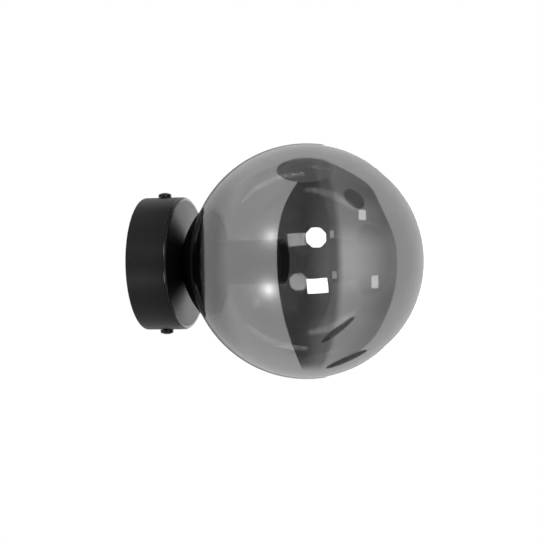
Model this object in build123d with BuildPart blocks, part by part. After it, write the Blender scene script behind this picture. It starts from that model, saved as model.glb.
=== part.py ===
"""Globe wall sconce: a round steel canopy, a bowl-shaped glass holder, an E14 lampholder and a glass globe.

Millimetres. The origin is the centre of the wall plane. +X points out of the wall along the lamp's axis
and +Z is up.
"""
from build123d import *
from math import cos, hypot, radians, sin, sqrt
import os

# ---- Driving dimensions -------------------------------------------------------------------------------------
# Canopy: a drawn steel drum, open at the wall
canopy_diameter = 80.0
canopy_depth = 25.0
canopy_wall = 1.0
canopy_edge_radius = 2.0
canopy_back_edge = 0.3

# Wall bracket: a strap along Z with two bent ears and a wing for the terminal block
strap_thickness = 1.5
strap_width = 12.0
strap_bend_radius = 1.0
ear_reach = 17.0
ear_clearance = 1.0
slot_spacing = 48.0
slot_length = 12.0
slot_width = 4.6
wing_height = 22.0
wing_corner_radius = 3.0

# Side screws: cross-recess pan heads through the drum into the ears
side_screw_place = 11.5
side_screw_radius = 2.0
side_screw_length = 9.0
side_head_radius = 4.0
side_head_height = 2.9
side_head_dome = 1.1
side_head_round = 0.8
screw_tip_chamfer = 0.4
recess_width = 0.9
recess_span = 4.6
recess_depth = 1.5
head_gap = 0.1

# Threaded tube that clamps canopy, bowl and lampholder together
tube_radius = 5.0
tube_bore = 4.0
tube_end_inside = 8.0
tube_end_chamfer = 0.4
nut_across_flats = 14.0
nut_thickness = 3.0
nut_chamfer = 0.5
lock_washer_radius = 9.0
lock_washer_thickness = 0.8
lock_washer_teeth = 10
lock_tooth_depth = 1.6
bush_collar_radius = 4.9
bush_collar_length = 1.0
bush_bore = 3.2
bush_insert_length = 4.0

# Bowl that carries the glass; the lip, its gasket and the collar are sized from the bowl's rim
bowl_depth = 14.0
bowl_rim_radius = 34.3
bowl_flat_radius = 9.0
bowl_wall = 1.0

# Threaded ring inside the bowl, and the collar that is bonded in the glass
ring_wall = 1.0
ring_hub_radius = 8.0
ring_setback = 0.4
collar_thread_inset = 8.3
collar_wall = 1.6
collar_end_gap = 0.5
collar_flange_inset = 0.4
collar_flange_thickness = 0.8
collar_boss_height = 0.8
gasket_thickness = 0.9
gasket_inset = 1.3
gasket_overhang = 0.6

# Glass globe
globe_diameter = 140.0
globe_wall = 1.6
globe_lip_overhang = 1.6
globe_opening_inset = 2.6
globe_lip_fillet = 2.0

# Lampholder
holder_radius = 13.4
holder_length = 59.0
holder_wall = 1.4
cap_boss_radius = 7.2
cap_boss_height = 3.0
cap_floor = 6.0
cap_length = 17.0
cap_shoulder = 3.0
spigot_length = 5.0
skirt_web_depth = 5.0
skirt_web_thickness = 1.5
mouth_round = 0.5
core_length = 8.0
core_setback = 19.0
shell_bore = 7.0
shell_neck_bore = 6.4
shell_wall = 0.35
shell_web_gap = 1.0
shell_flange_bore = 5.0
strip_thickness = 0.5
strip_width = 4.0
contact_rise = 4.5
contact_margin = 0.3
wire_hole_offset = 7.0
wire_entry = 6.0
channel_overrun = 1.0

# Terminal block: three poles side by side along Z
pole_count = 3
pole_pitch = 8.0
block_gap = 15.0
block_width = 16.0
block_height = 8.0
block_end_margin = 5.0
block_corner_radius = 1.5
block_wing_margin = 1.0
insert_radius = 2.4
insert_bore = 1.5
insert_height = 4.5
insert_recess = 1.0
chimney_radius = 3.0
chimney_height = 4.0
clamp_spacing = 8.4
clamp_radius = 1.3
clamp_head_radius = 2.0
clamp_head_height = 1.4
driver_slot = 0.5
block_screw_radius = 1.5
block_screw_head_radius = 2.7
block_screw_head_height = 1.6
block_screw_length = 8.0

# Leads and the earth terminal
lead_radius = 0.9
lead_spread = 1.3
lead_grip = 5.0
lead_sag = 0.8
lead_fan = 2.0
lead_run_in = 4.0
earth_run_out = 1.0
earth_rise = 5.0
terminal_thickness = 0.8
terminal_ring_radius = 7.5
terminal_barrel_radius = 1.7
terminal_barrel_length = 6.0
terminal_reach = 10.5

# Named clearances
thread_clearance = 0.05
hole_clearance = 0.15
running_clearance = 0.05
side_hole_clearance = 0.25
seat_gap = 0.2

# ---- Positions worked out from the sizes --------------------------------------------------------------------
canopy_radius = canopy_diameter / 2
canopy_bore = canopy_radius - canopy_wall
face = canopy_depth
inner_face = canopy_depth - canopy_wall
ear_outside = canopy_bore - ear_clearance
ear_inside = ear_outside - strap_thickness

tube_back = face - tube_end_inside
bowl_floor = face + bowl_wall
ring_floor = bowl_floor + ring_wall
cap_inside = ring_floor + cap_floor
cap_front = ring_floor + cap_length
holder_mouth = ring_floor + holder_length
skirt_bore = holder_radius - holder_wall
web_front = holder_mouth - skirt_web_depth
core_rear = ring_floor + core_setback
core_front = core_rear + core_length

bowl_centre_offset = (bowl_rim_radius**2 + bowl_depth**2 - bowl_flat_radius**2) / (2 * bowl_depth)
bowl_centre = face + bowl_centre_offset
bowl_outer_sphere = hypot(bowl_flat_radius, bowl_centre_offset)
bowl_inner_sphere = bowl_outer_sphere - bowl_wall
bowl_rim = face + bowl_depth

gasket_inner_radius = bowl_rim_radius - gasket_inset
gasket_outer_radius = bowl_rim_radius + gasket_overhang
glass_seat = bowl_rim + gasket_thickness
lip_front = glass_seat + globe_wall
lip_outer_radius = bowl_rim_radius + globe_lip_overhang
globe_opening_radius = bowl_rim_radius - globe_opening_inset
globe_radius = globe_diameter / 2
globe_inner_radius = globe_radius - globe_wall
globe_centre = glass_seat + sqrt(globe_radius**2 - lip_outer_radius**2)

collar_thread_radius = bowl_rim_radius - collar_thread_inset
collar_bore = collar_thread_radius - collar_wall
collar_flange_radius = gasket_inner_radius - collar_flange_inset
ring_thread_radius = collar_thread_radius + running_clearance
ring_outer_radius = ring_thread_radius + ring_wall

block_inner_edge = -block_gap
block_outer_edge = -(block_gap + block_width)
wing_outer_edge = block_outer_edge - block_wing_margin
block_middle = (block_inner_edge + block_outer_edge) / 2
block_front = strap_thickness + block_height
block_length = pole_pitch * (pole_count - 1) + 2 * block_end_margin
insert_level = strap_thickness + insert_height
pole_heights = [(index - (pole_count - 1) / 2) * pole_pitch for index in range(pole_count)]


def back_of_sphere(centre, sphere_radius, radius):
    """Axial place of a sphere's wall side at a given distance from the axis."""
    return centre - sqrt(sphere_radius**2 - radius**2)


def radius_on_sphere(centre, sphere_radius, place):
    """Distance from the axis of a sphere's surface at a given place along the axis."""
    return sqrt(sphere_radius**2 - (place - centre) ** 2)


os.makedirs("parts", exist_ok=True)

# ---- Wall bracket: bent strap with ears, fixing slots and the block's wing -----------------------------------
with BuildPart() as wall_bracket:
    with BuildSketch(Plane.XZ) as strap_side:
        with BuildLine():
            Polyline(
                (0, -ear_outside),
                (ear_reach, -ear_outside),
                (ear_reach, -ear_inside),
                (strap_thickness, -ear_inside),
                (strap_thickness, ear_inside),
                (ear_reach, ear_inside),
                (ear_reach, ear_outside),
                (0, ear_outside),
                close=True,
            )
        make_face()
        outer_bends = strap_side.vertices().filter_by(lambda v: v.X < strap_thickness / 2)
        fillet(outer_bends, strap_bend_radius + strap_thickness)
        inner_bends = strap_side.vertices().filter_by(
            lambda v: abs(v.X - strap_thickness) < 0.01 and abs(abs(v.Z) - ear_inside) < 0.01
        )
        fillet(inner_bends, strap_bend_radius)
    extrude(amount=strap_width / 2, both=True)
    with BuildSketch(Plane.YZ) as wing_outline:
        with Locations((wing_outer_edge / 2, 0)):
            Rectangle(-wing_outer_edge, wing_height)
        fillet(wing_outline.vertices().group_by(Axis.Y)[0], wing_corner_radius)
    extrude(amount=strap_thickness)
    with BuildSketch(Plane.YZ) as wall_slots:
        with GridLocations(0, slot_spacing, 1, 2):
            SlotOverall(slot_length, slot_width, rotation=90)
    extrude(amount=strap_thickness, mode=Mode.SUBTRACT)
    with BuildSketch(Plane.XY.offset(-ear_outside)) as ear_holes:
        with Locations((side_screw_place, 0)):
            Circle(side_screw_radius + running_clearance)
    extrude(amount=2 * ear_outside, mode=Mode.SUBTRACT)
    with BuildSketch(Plane.YZ) as block_screw_holes:
        with GridLocations(0, pole_pitch, 1, pole_count - 1):
            with Locations((block_middle, 0)):
                Circle(block_screw_radius + thread_clearance)
    extrude(amount=strap_thickness, mode=Mode.SUBTRACT)
wall_bracket.part.label = "wall_bracket"
export_step(wall_bracket.part, "parts/wall_bracket.step")

# ---- Canopy: drawn drum, open at the wall, with a centre hole and two side holes -----------------------------
with BuildPart() as canopy:
    with BuildSketch(Plane.XY) as canopy_section:
        with BuildLine():
            Polyline(
                (0, canopy_bore),
                (0, canopy_radius),
                (face, canopy_radius),
                (face, tube_radius + hole_clearance),
                (inner_face, tube_radius + hole_clearance),
                (inner_face, canopy_bore),
                close=True,
            )
        make_face()
        fillet(canopy_section.vertices().sort_by_distance((face, canopy_radius))[:1], canopy_edge_radius)
        inside_corner = canopy_section.vertices().sort_by_distance((inner_face, canopy_bore))[:1]
        fillet(inside_corner, canopy_edge_radius - canopy_wall)
        fillet(canopy_section.vertices().sort_by_distance((0, canopy_radius))[:1], canopy_back_edge)
    revolve(axis=Axis.X)
    with BuildSketch(Plane.XY.offset(-canopy_diameter)) as canopy_side_holes:
        with Locations((side_screw_place, 0)):
            Circle(side_screw_radius + side_hole_clearance)
    extrude(amount=2 * canopy_diameter, mode=Mode.SUBTRACT)
canopy.part.label = "canopy"
export_step(canopy.part, "parts/canopy.step")

# ---- Side screws: pan heads with a cross recess, one above and one below -------------------------------------
head_seat = canopy_radius + head_gap
head_top = head_seat + side_head_height
dome_radius = (side_head_radius**2 + side_head_dome**2) / (2 * side_head_dome)
dome_centre = head_top - dome_radius

for screw_name, turn in (("side_screw_upper", 0), ("side_screw_lower", 180)):
    with BuildPart() as side_screw:
        with BuildSketch(Plane.XZ) as screw_section:
            with BuildLine():
                Polyline(
                    (0, head_seat - side_screw_length),
                    (side_screw_radius - screw_tip_chamfer, head_seat - side_screw_length),
                    (side_screw_radius, head_seat - side_screw_length + screw_tip_chamfer),
                    (side_screw_radius, head_seat),
                    (side_head_radius, head_seat),
                    (side_head_radius, head_top - side_head_dome),
                )
                ThreePointArc(
                    (side_head_radius, head_top - side_head_dome),
                    (side_head_radius / 2, dome_centre + sqrt(dome_radius**2 - side_head_radius**2 / 4)),
                    (0, head_top),
                )
                Line((0, head_top), (0, head_seat - side_screw_length))
            make_face()
            head_shoulder = (side_head_radius, 0, head_top - side_head_dome)
            fillet(screw_section.vertices().sort_by_distance(head_shoulder)[:1], side_head_round)
        revolve(axis=Axis.Z)
        with BuildSketch(Plane.XY.offset(head_top)) as cross_recess:
            Rectangle(recess_span, recess_width)
            Rectangle(recess_width, recess_span)
        extrude(amount=-recess_depth, mode=Mode.SUBTRACT)
    placed_screw = Pos(side_screw_place, 0, 0) * Rot(turn, 0, 0) * side_screw.part
    placed_screw.label = screw_name
    export_step(placed_screw, f"parts/{screw_name}.step")

# ---- Threaded tube with its lock washer, nut and plastic end bush ---------------------------------------------
with BuildPart() as threaded_tube:
    with BuildSketch(Plane.YZ.offset(tube_back)) as tube_section:
        Circle(tube_radius)
        Circle(tube_bore, mode=Mode.SUBTRACT)
    extrude(amount=cap_inside - tube_back)
    outer_ends = threaded_tube.edges().filter_by(GeomType.CIRCLE).filter_by(
        lambda e: abs(e.radius - tube_radius) < 0.01
    )
    chamfer(outer_ends, tube_end_chamfer)
threaded_tube.part.label = "threaded_tube"
export_step(threaded_tube.part, "parts/threaded_tube.step")

washer_back = inner_face - lock_washer_thickness

with BuildPart() as lock_washer:
    with BuildSketch(Plane.YZ.offset(washer_back)) as washer_outline:
        Circle(lock_washer_radius)
        Circle(tube_radius + hole_clearance, mode=Mode.SUBTRACT)
        with PolarLocations(lock_washer_radius, lock_washer_teeth):
            Rectangle(2 * lock_tooth_depth, lock_tooth_depth, mode=Mode.SUBTRACT)
    extrude(amount=lock_washer_thickness)
lock_washer.part.label = "lock_washer"
export_step(lock_washer.part, "parts/lock_washer.step")

terminal_back = washer_back - terminal_thickness
nut_back = terminal_back - nut_thickness
nut_corner_radius = nut_across_flats / sqrt(3)
nut_flat_radius = nut_across_flats / 2

with BuildPart() as tube_nut:
    with BuildSketch(Plane.YZ.offset(nut_back)) as nut_outline:
        RegularPolygon(nut_flat_radius, 6, major_radius=False)
        Circle(tube_radius + thread_clearance, mode=Mode.SUBTRACT)
    extrude(amount=nut_thickness)
    with BuildSketch(Plane.XY) as nut_chamfer_section:
        with BuildLine():
            Polyline(
                (nut_back, 0),
                (nut_back, nut_flat_radius),
                (nut_back + nut_chamfer, nut_corner_radius),
                (terminal_back, nut_corner_radius),
                (terminal_back, 0),
                close=True,
            )
        make_face()
    revolve(axis=Axis.X, mode=Mode.INTERSECT)
tube_nut.part.label = "tube_nut"
export_step(tube_nut.part, "parts/tube_nut.step")

with BuildPart() as tube_bush:
    with BuildSketch(Plane.XY) as bush_section:
        with BuildLine():
            Polyline(
                (tube_back - bush_collar_length, bush_bore),
                (tube_back - bush_collar_length, bush_collar_radius),
                (tube_back, bush_collar_radius),
                (tube_back, tube_bore - thread_clearance),
                (tube_back + bush_insert_length, tube_bore - thread_clearance),
                (tube_back + bush_insert_length, bush_bore),
                close=True,
            )
        make_face()
    revolve(axis=Axis.X)
    fillet(tube_bush.edges().group_by(Axis.X)[0], bush_collar_length / 3)
tube_bush.part.label = "tube_bush"
export_step(tube_bush.part, "parts/tube_bush.step")

# ---- Glass holder: the bowl, and the threaded ring clamped inside it ------------------------------------------
bowl_half_radius = bowl_rim_radius * 0.7
bowl_inner_rim = radius_on_sphere(bowl_centre, bowl_inner_sphere, bowl_rim)
bowl_inner_flat = radius_on_sphere(bowl_centre, bowl_inner_sphere, bowl_floor)

with BuildPart() as holder_bowl:
    with BuildSketch(Plane.XY) as bowl_section:
        with BuildLine():
            Line((face, tube_radius + hole_clearance), (face, bowl_flat_radius))
            ThreePointArc(
                (face, bowl_flat_radius),
                (back_of_sphere(bowl_centre, bowl_outer_sphere, bowl_half_radius), bowl_half_radius),
                (bowl_rim, bowl_rim_radius),
            )
            Line((bowl_rim, bowl_rim_radius), (bowl_rim, bowl_inner_rim))
            ThreePointArc(
                (bowl_rim, bowl_inner_rim),
                (back_of_sphere(bowl_centre, bowl_inner_sphere, bowl_half_radius), bowl_half_radius),
                (bowl_floor, bowl_inner_flat),
            )
            Polyline(
                (bowl_floor, bowl_inner_flat),
                (bowl_floor, tube_radius + hole_clearance),
                (face, tube_radius + hole_clearance),
            )
        make_face()
    revolve(axis=Axis.X)
holder_bowl.part.label = "holder_bowl"
export_step(holder_bowl.part, "parts/holder_bowl.step")

ring_corner = back_of_sphere(bowl_centre, bowl_inner_sphere, ring_outer_radius) + ring_setback
ring_front = bowl_rim - ring_setback
ring_slope = (ring_corner - bowl_floor) / (ring_outer_radius - ring_hub_radius)
ring_inner_corner = ring_floor + ring_slope * (ring_thread_radius - ring_hub_radius)

with BuildPart() as holder_ring:
    with BuildSketch(Plane.XY) as ring_section:
        with BuildLine():
            Polyline(
                (bowl_floor, tube_radius + hole_clearance),
                (bowl_floor, ring_hub_radius),
                (ring_corner, ring_outer_radius),
                (ring_front, ring_outer_radius),
                (ring_front, ring_thread_radius),
                (ring_inner_corner, ring_thread_radius),
                (ring_floor, ring_hub_radius),
                (ring_floor, tube_radius + hole_clearance),
                close=True,
            )
        make_face()
    revolve(axis=Axis.X)
holder_ring.part.label = "holder_ring"
export_step(holder_ring.part, "parts/holder_ring.step")

with BuildPart() as glass_gasket:
    with BuildSketch(Plane.YZ.offset(bowl_rim)) as gasket_outline:
        Circle(gasket_outer_radius)
        Circle(gasket_inner_radius, mode=Mode.SUBTRACT)
    extrude(amount=gasket_thickness)
glass_gasket.part.label = "glass_gasket"
export_step(glass_gasket.part, "parts/glass_gasket.step")

# ---- Glass globe with the threaded collar bonded in its opening -----------------------------------------------
flange_back = glass_seat - collar_flange_thickness
collar_back = ring_inner_corner + collar_end_gap

with BuildPart() as glass_collar:
    with BuildSketch(Plane.XY) as collar_section:
        with BuildLine():
            Polyline(
                (collar_back, collar_bore),
                (collar_back, collar_thread_radius),
                (flange_back, collar_thread_radius),
                (flange_back, collar_flange_radius),
                (glass_seat, collar_flange_radius),
                (glass_seat, globe_opening_radius - seat_gap),
                (glass_seat + collar_boss_height, globe_opening_radius - seat_gap),
                (glass_seat + collar_boss_height, collar_bore),
                close=True,
            )
        make_face()
    revolve(axis=Axis.X)
glass_collar.part.label = "glass_collar"
export_step(glass_collar.part, "parts/glass_collar.step")

lip_inner_radius = radius_on_sphere(globe_centre, globe_inner_radius, lip_front)

with BuildPart() as glass_globe:
    with BuildSketch(Plane.XY) as globe_section:
        with BuildLine():
            Polyline(
                (lip_front, lip_inner_radius),
                (lip_front, globe_opening_radius),
                (glass_seat, globe_opening_radius),
                (glass_seat, lip_outer_radius),
            )
            ThreePointArc(
                (glass_seat, lip_outer_radius),
                (globe_centre, globe_radius),
                (globe_centre + globe_radius, 0),
            )
            Line((globe_centre + globe_radius, 0), (globe_centre + globe_inner_radius, 0))
            ThreePointArc(
                (globe_centre + globe_inner_radius, 0),
                (globe_centre, globe_inner_radius),
                (lip_front, lip_inner_radius),
            )
        make_face()
        fillet(
            globe_section.vertices().sort_by_distance((glass_seat, lip_outer_radius))[:1],
            globe_lip_fillet,
        )
        fillet(
            globe_section.vertices().sort_by_distance((lip_front, lip_inner_radius))[:1],
            globe_lip_fillet / 2,
        )
    revolve(axis=Axis.X)
glass_globe.part.label = "glass_globe"
export_step(glass_globe.part, "parts/glass_globe.step")

# ---- Lampholder: threaded cap, smooth skirt, insulating core, screw shell and contacts ------------------------
with BuildPart() as lampholder_cap:
    with BuildSketch(Plane.XY) as cap_section:
        with BuildLine():
            Polyline(
                (ring_floor, tube_radius + thread_clearance),
                (ring_floor, cap_boss_radius),
                (ring_floor + cap_boss_height, cap_boss_radius),
                (ring_floor + cap_boss_height + cap_shoulder, holder_radius),
                (cap_front, holder_radius),
                (cap_front, skirt_bore),
                (cap_inside, skirt_bore),
                (cap_inside, tube_radius + thread_clearance),
                close=True,
            )
        make_face()
        shoulder = (ring_floor + cap_boss_height + cap_shoulder, holder_radius)
        fillet(cap_section.vertices().sort_by_distance(shoulder)[:1], cap_shoulder / 2)
    revolve(axis=Axis.X)
lampholder_cap.part.label = "lampholder_cap"
export_step(lampholder_cap.part, "parts/lampholder_cap.step")

spigot_radius = skirt_bore - thread_clearance
spigot_bore = spigot_radius - holder_wall
web_hole = shell_bore + shell_wall + seat_gap

with BuildPart() as lampholder_skirt:
    with BuildSketch(Plane.XY) as skirt_section:
        with BuildLine():
            Polyline(
                (cap_front - spigot_length, spigot_bore),
                (cap_front - spigot_length, spigot_radius),
                (cap_front, spigot_radius),
                (cap_front, holder_radius),
                (holder_mouth, holder_radius),
                (holder_mouth, skirt_bore),
                (web_front, skirt_bore),
                (web_front, web_hole),
                (web_front - skirt_web_thickness, web_hole),
                (web_front - skirt_web_thickness, spigot_bore),
                close=True,
            )
        make_face()
        fillet(skirt_section.vertices().group_by(Axis.X)[-1], mouth_round)
    revolve(axis=Axis.X)
lampholder_skirt.part.label = "lampholder_skirt"
export_step(lampholder_skirt.part, "parts/lampholder_skirt.step")

side_strip_level = wire_hole_offset - lead_radius - strip_thickness / 2
shell_rear = core_front
shell_front = web_front - skirt_web_thickness - shell_web_gap
contact_foot = core_front + shell_wall + strip_thickness
contact_top = contact_foot + contact_rise + strip_thickness / 2
shell_neck_front = contact_top + contact_margin
shell_thread_rear = shell_neck_front + shell_bore - shell_neck_bore
strip_rear = core_rear + core_length - wire_entry
centre_strip_level = shell_flange_bore / 2
centre_strip_path = [
    (contact_foot + contact_rise, centre_strip_level * 0.8),
    (contact_foot, -centre_strip_level),
    (strip_rear + core_length / 3, -centre_strip_level),
    (strip_rear + core_length / 3, -side_strip_level),
    (core_rear, -side_strip_level),
]
side_strip_path = [(core_rear, side_strip_level), (core_front, side_strip_level)]

with BuildPart() as centre_contact:
    with BuildSketch(Plane.XZ) as centre_strip:
        with BuildLine() as centre_line:
            Polyline(*centre_strip_path)
        trace(line_width=strip_thickness)
    extrude(amount=strip_width / 2, both=True)
centre_contact.part.label = "centre_contact"
export_step(centre_contact.part, "parts/centre_contact.step")

with BuildPart() as side_contact:
    with BuildSketch(Plane.XZ) as side_strip:
        with BuildLine() as side_line:
            Polyline(*side_strip_path)
        trace(line_width=strip_thickness)
    extrude(amount=strip_width / 2, both=True)
side_contact.part.label = "side_contact"
export_step(side_contact.part, "parts/side_contact.step")

with BuildPart() as lampholder_core:
    with BuildSketch(Plane.YZ.offset(core_rear)) as core_outline:
        Circle(spigot_bore - seat_gap)
    extrude(amount=core_length)
    with BuildSketch(Plane.XZ) as strip_channels:
        with BuildLine():
            Polyline(*centre_strip_path[1:])
        trace(line_width=strip_thickness + 2 * thread_clearance)
        with BuildLine():
            Polyline(
                (core_rear - channel_overrun, side_strip_level),
                (core_front + channel_overrun, side_strip_level),
            )
        trace(line_width=strip_thickness + 2 * thread_clearance)
    extrude(amount=strip_width / 2 + thread_clearance, both=True, mode=Mode.SUBTRACT)
    with BuildSketch(Plane.YZ.offset(core_rear)) as wire_holes:
        with GridLocations(0, 2 * wire_hole_offset, 1, 2):
            Circle(lead_radius + hole_clearance)
    extrude(amount=wire_entry, mode=Mode.SUBTRACT)
lampholder_core.part.label = "lampholder_core"
export_step(lampholder_core.part, "parts/lampholder_core.step")

with BuildPart() as screw_shell:
    with BuildSketch(Plane.XY) as shell_section:
        with BuildLine():
            Polyline(
                (shell_rear, shell_flange_bore),
                (shell_rear, shell_neck_bore + shell_wall),
                (shell_neck_front, shell_neck_bore + shell_wall),
                (shell_thread_rear, shell_bore + shell_wall),
                (shell_front, shell_bore + shell_wall),
                (shell_front, shell_bore),
                (shell_thread_rear, shell_bore),
                (shell_neck_front, shell_neck_bore),
                (shell_rear + shell_wall, shell_neck_bore),
                (shell_rear + shell_wall, shell_flange_bore),
                close=True,
            )
        make_face()
    revolve(axis=Axis.X)
screw_shell.part.label = "screw_shell"
export_step(screw_shell.part, "parts/screw_shell.step")

# ---- Terminal block on the bracket's wing ---------------------------------------------------------------------
clamp_rows = [block_middle - clamp_spacing / 2, block_middle + clamp_spacing / 2]
chimney_top = block_front + chimney_height
screw_tip = insert_level + lead_radius

with BuildPart() as terminal_block:
    with BuildSketch(Plane.YZ.offset(strap_thickness)) as block_outline:
        with Locations((block_middle, 0)):
            RectangleRounded(block_width, block_length, block_corner_radius)
    extrude(amount=block_height)
    with BuildSketch(Plane.YZ.offset(block_front)) as chimneys:
        with Locations((block_middle, 0)):
            with GridLocations(clamp_spacing, pole_pitch, 2, pole_count):
                Circle(chimney_radius)
    extrude(amount=chimney_height)
    with BuildSketch(Plane.YZ.offset(insert_level)) as clamp_shafts:
        with Locations((block_middle, 0)):
            with GridLocations(clamp_spacing, pole_pitch, 2, pole_count):
                Circle(clamp_head_radius + hole_clearance)
    extrude(amount=chimney_top - insert_level, mode=Mode.SUBTRACT)
    with BuildSketch(Plane.XZ.offset(-block_inner_edge)) as wire_bores:
        for height in pole_heights:
            with Locations((insert_level, height)):
                Circle(insert_radius + thread_clearance)
    extrude(amount=block_width, mode=Mode.SUBTRACT)
    with BuildSketch(Plane.YZ.offset(strap_thickness)) as fixing_holes:
        with Locations((block_middle, 0)):
            with GridLocations(0, pole_pitch, 1, pole_count - 1):
                Circle(block_screw_radius + hole_clearance)
    extrude(amount=block_height, mode=Mode.SUBTRACT)
terminal_block.part.label = "terminal_block"
export_step(terminal_block.part, "parts/terminal_block.step")

insert_start = insert_recess - block_inner_edge

with BuildPart() as block_inserts:
    with BuildSketch(Plane.XZ.offset(insert_start)) as insert_section:
        for height in pole_heights:
            with Locations((insert_level, height)):
                Circle(insert_radius)
                Circle(insert_bore, mode=Mode.SUBTRACT)
    extrude(amount=block_width - 2 * insert_recess)
    with BuildSketch(Plane.YZ.offset(insert_level)) as insert_threads:
        with Locations((block_middle, 0)):
            with GridLocations(clamp_spacing, pole_pitch, 2, pole_count):
                Circle(clamp_radius + thread_clearance)
    extrude(amount=insert_radius, mode=Mode.SUBTRACT)
block_inserts.part.label = "block_inserts"
export_step(block_inserts.part, "parts/block_inserts.step")

with BuildPart() as clamp_screws:
    with BuildSketch(Plane.YZ.offset(screw_tip)) as clamp_shanks:
        with Locations((block_middle, 0)):
            with GridLocations(clamp_spacing, pole_pitch, 2, pole_count):
                Circle(clamp_radius)
    extrude(amount=block_front - screw_tip)
    with BuildSketch(Plane.YZ.offset(block_front)) as clamp_heads:
        with Locations((block_middle, 0)):
            with GridLocations(clamp_spacing, pole_pitch, 2, pole_count):
                Circle(clamp_head_radius)
    extrude(amount=clamp_head_height)
    with BuildSketch(Plane.YZ.offset(block_front + clamp_head_height)) as clamp_slots:
        with Locations((block_middle, 0)):
            with GridLocations(clamp_spacing, pole_pitch, 2, pole_count):
                Rectangle(3 * clamp_head_radius, driver_slot)
    extrude(amount=-clamp_head_height / 2, mode=Mode.SUBTRACT)
clamp_screws.part.label = "clamp_screws"
export_step(clamp_screws.part, "parts/clamp_screws.step")

with BuildPart() as block_fixing_screws:
    with BuildSketch(Plane.YZ.offset(block_front)) as fixing_heads:
        with Locations((block_middle, 0)):
            with GridLocations(0, pole_pitch, 1, pole_count - 1):
                Circle(block_screw_head_radius)
    extrude(amount=block_screw_head_height)
    with BuildSketch(Plane.YZ.offset(block_front)) as fixing_shanks:
        with Locations((block_middle, 0)):
            with GridLocations(0, pole_pitch, 1, pole_count - 1):
                Circle(block_screw_radius)
    extrude(amount=-block_screw_length)
block_fixing_screws.part.label = "block_fixing_screws"
export_step(block_fixing_screws.part, "parts/block_fixing_screws.step")

# ---- Earth terminal on the threaded tube ----------------------------------------------------------------------
barrel_end = terminal_back - terminal_barrel_length

with BuildPart() as earth_terminal:
    with BuildSketch(Plane.YZ.offset(terminal_back)) as terminal_outline:
        Circle(terminal_ring_radius)
        with Locations((-terminal_reach / 2, 0)):
            Rectangle(terminal_reach + 2 * terminal_barrel_radius, 2 * terminal_barrel_radius)
        Circle(tube_radius + hole_clearance, mode=Mode.SUBTRACT)
    extrude(amount=terminal_thickness)
    with BuildSketch(Plane.YZ.offset(barrel_end)) as barrel_section:
        with Locations((-terminal_reach, 0)):
            Circle(terminal_barrel_radius)
            Circle(lead_radius, mode=Mode.SUBTRACT)
    extrude(amount=terminal_barrel_length)
earth_terminal.part.label = "earth_terminal"
export_step(earth_terminal.part, "parts/earth_terminal.step")

# ---- Leads from the block to the lampholder and to the earth terminal -----------------------------------------
lead_start = block_inner_edge - lead_grip


def bend_radii(points):
    """Radius of each bend: 0.45 of the shorter run beside it over the tangent of half the turn."""
    radii = []
    for before, here, after in zip(points, points[1:], points[2:]):
        run_in = Vector(here) - Vector(before)
        run_out = Vector(after) - Vector(here)
        half_turn = radians(run_in.get_angle(run_out) / 2)
        radii.append(0.45 * min(run_in.length, run_out.length) * cos(half_turn) / sin(half_turn))
    print("bend radii", [round(radius, 1) for radius in radii])
    return radii


def make_lead(lead_name, points):
    """One insulated lead of round section along its route."""
    with BuildPart() as lead:
        with BuildLine() as lead_route:
            FilletPolyline(*points, radius=bend_radii(points))
        with BuildSketch(Plane(origin=points[0], z_dir=Vector(points[1]) - Vector(points[0]))):
            Circle(lead_radius)
        sweep(path=lead_route.line)
    lead.part.label = lead_name
    export_step(lead.part, f"parts/{lead_name}.step")


for lead_name, side in (("live_lead", -1), ("neutral_lead", 1)):
    make_lead(
        lead_name,
        [
            (insert_level, lead_start, side * pole_heights[-1]),
            (insert_level, block_inner_edge + lead_grip, side * pole_heights[-1]),
            ((insert_level + tube_back) / 2, -lead_sag, side * lead_spread),
            (cap_inside + lead_fan, 0, side * lead_spread),
            (core_rear - lead_run_in, 0, side * wire_hole_offset),
            (core_rear + wire_entry, 0, side * wire_hole_offset),
        ],
    )

make_lead(
    "earth_lead",
    [
        (insert_level, lead_start, 0),
        (insert_level, block_inner_edge + earth_run_out, 0),
        (insert_level + earth_rise, -terminal_reach, 0),
        (terminal_back - earth_run_out, -terminal_reach, 0),
    ],
)
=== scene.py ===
"""Globe wall sconce in smoked half-mirror glass and black steel.

Metres. The origin is the centre of the wall plane, +X points out of the wall and +Z is up.
"""

from math import asin, atan2, ceil, cos, exp, floor, hypot, inf, pi, radians, sin, sqrt, tan

import bmesh
import bpy
from mathutils import Matrix, Vector


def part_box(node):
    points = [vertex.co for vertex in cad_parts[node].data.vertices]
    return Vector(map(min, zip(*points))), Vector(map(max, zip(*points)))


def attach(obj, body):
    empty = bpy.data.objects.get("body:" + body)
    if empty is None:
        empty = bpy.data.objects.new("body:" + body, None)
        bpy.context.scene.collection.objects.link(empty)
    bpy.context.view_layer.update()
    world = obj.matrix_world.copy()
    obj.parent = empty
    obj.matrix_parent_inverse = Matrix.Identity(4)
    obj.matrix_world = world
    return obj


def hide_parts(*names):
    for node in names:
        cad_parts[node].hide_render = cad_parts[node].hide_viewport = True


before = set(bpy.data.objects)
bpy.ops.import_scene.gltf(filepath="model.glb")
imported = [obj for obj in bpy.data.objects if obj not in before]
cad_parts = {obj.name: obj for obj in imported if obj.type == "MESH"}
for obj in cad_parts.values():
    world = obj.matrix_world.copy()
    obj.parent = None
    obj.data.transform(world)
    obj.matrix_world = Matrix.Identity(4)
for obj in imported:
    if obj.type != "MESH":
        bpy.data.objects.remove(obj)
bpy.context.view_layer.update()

# ---- Wall bracket ----------------------------------------------------------------------------------------
# A strap of 1.5 mm steel with two bent ears and a wing for the terminal block, stamped and zinc plated.
# It is screwed to the wall first and stays there; the canopy goes over it.


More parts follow.
